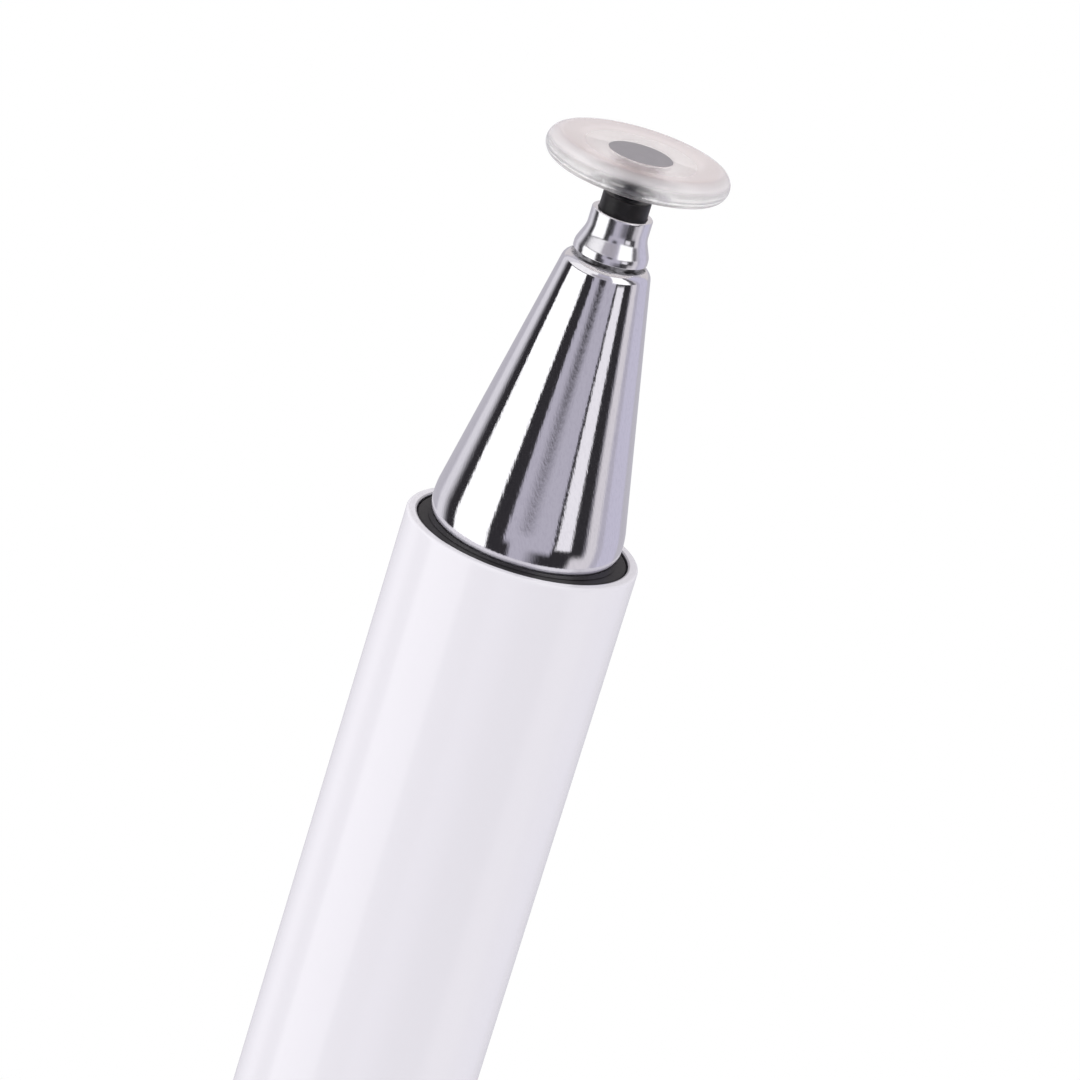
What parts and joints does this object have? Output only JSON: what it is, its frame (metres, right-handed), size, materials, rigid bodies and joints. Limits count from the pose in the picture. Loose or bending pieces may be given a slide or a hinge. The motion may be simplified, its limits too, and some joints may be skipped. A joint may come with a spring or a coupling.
{
  "type": "stylus pen",
  "caption": "Slim round stylus pen with a white barrel, a screwed chrome nose cone and a clear touch disc that tilts and spins on a ball joint.",
  "frame": {"origin": "centre of the tail face", "axes": "+Z along the pen's axis from the tail to the touch disc, X and Y across it"},
  "size_m": [0.009, 0.009, 0.1399],
  "materials": {
    "barrel_paint": "gloss white paint on an aluminium tube",
    "tail_plastic": "gloss white moulding",
    "bush_brass": "turned brass",
    "seal_rubber": "satin black rubber",
    "tip_chrome": "bright chrome plating with a fine grain",
    "stem_rubber": "smooth black conductive rubber",
    "stud_steel": "dark turned steel",
    "hub_plastic": "clear plastic with a dark lip",
    "plate_metal": "satin grey metal",
    "clear_disc": "clear moulded plastic"
  },
  "bodies": {
    "barrel": {"barrel": "barrel_paint", "tail_plug": "tail_plastic", "front_bush": "bush_brass"},
    "seal": {"seal_ring": "seal_rubber"},
    "nib": {"nose_cone": "tip_chrome", "tip_nozzle": "tip_chrome", "stem_sleeve": "stem_rubber"},
    "stud": {"ball_stud": "stud_steel", "stud_clip": "stud_steel"},
    "disc": {"ball_socket": "hub_plastic", "contact_plate": "plate_metal", "touch_disc": "clear_disc"}
  },
  "joints": [
    {"name": "nib_draw", "type": "slide", "parent": "barrel", "child": "seal", "axis": [0, 0, 1], "range_m": [0, 0.0072]},
    {"name": "nib_turn", "type": "hinge", "parent": "seal", "child": "nib", "pos_m": [0, 0, 0.1244], "axis": [0, 0, 1], "range_deg": [0, 3240]},
    {"name": "disc_swivel", "type": "hinge", "parent": "nib", "child": "stud", "pos_m": [0, 0, 0.13904], "axis": [0, 0, 1], "continuous": true},
    {"name": "disc_tilt", "type": "hinge", "parent": "stud", "child": "disc", "pos_m": [0, 0, 0.13904], "axis": [1, 0, 0], "range_deg": [-35, 35]}
  ],
  "couplings": [
    {"joint": "nib_turn", "follows": "nib_draw", "rad_per_m": 7854}
  ]
}
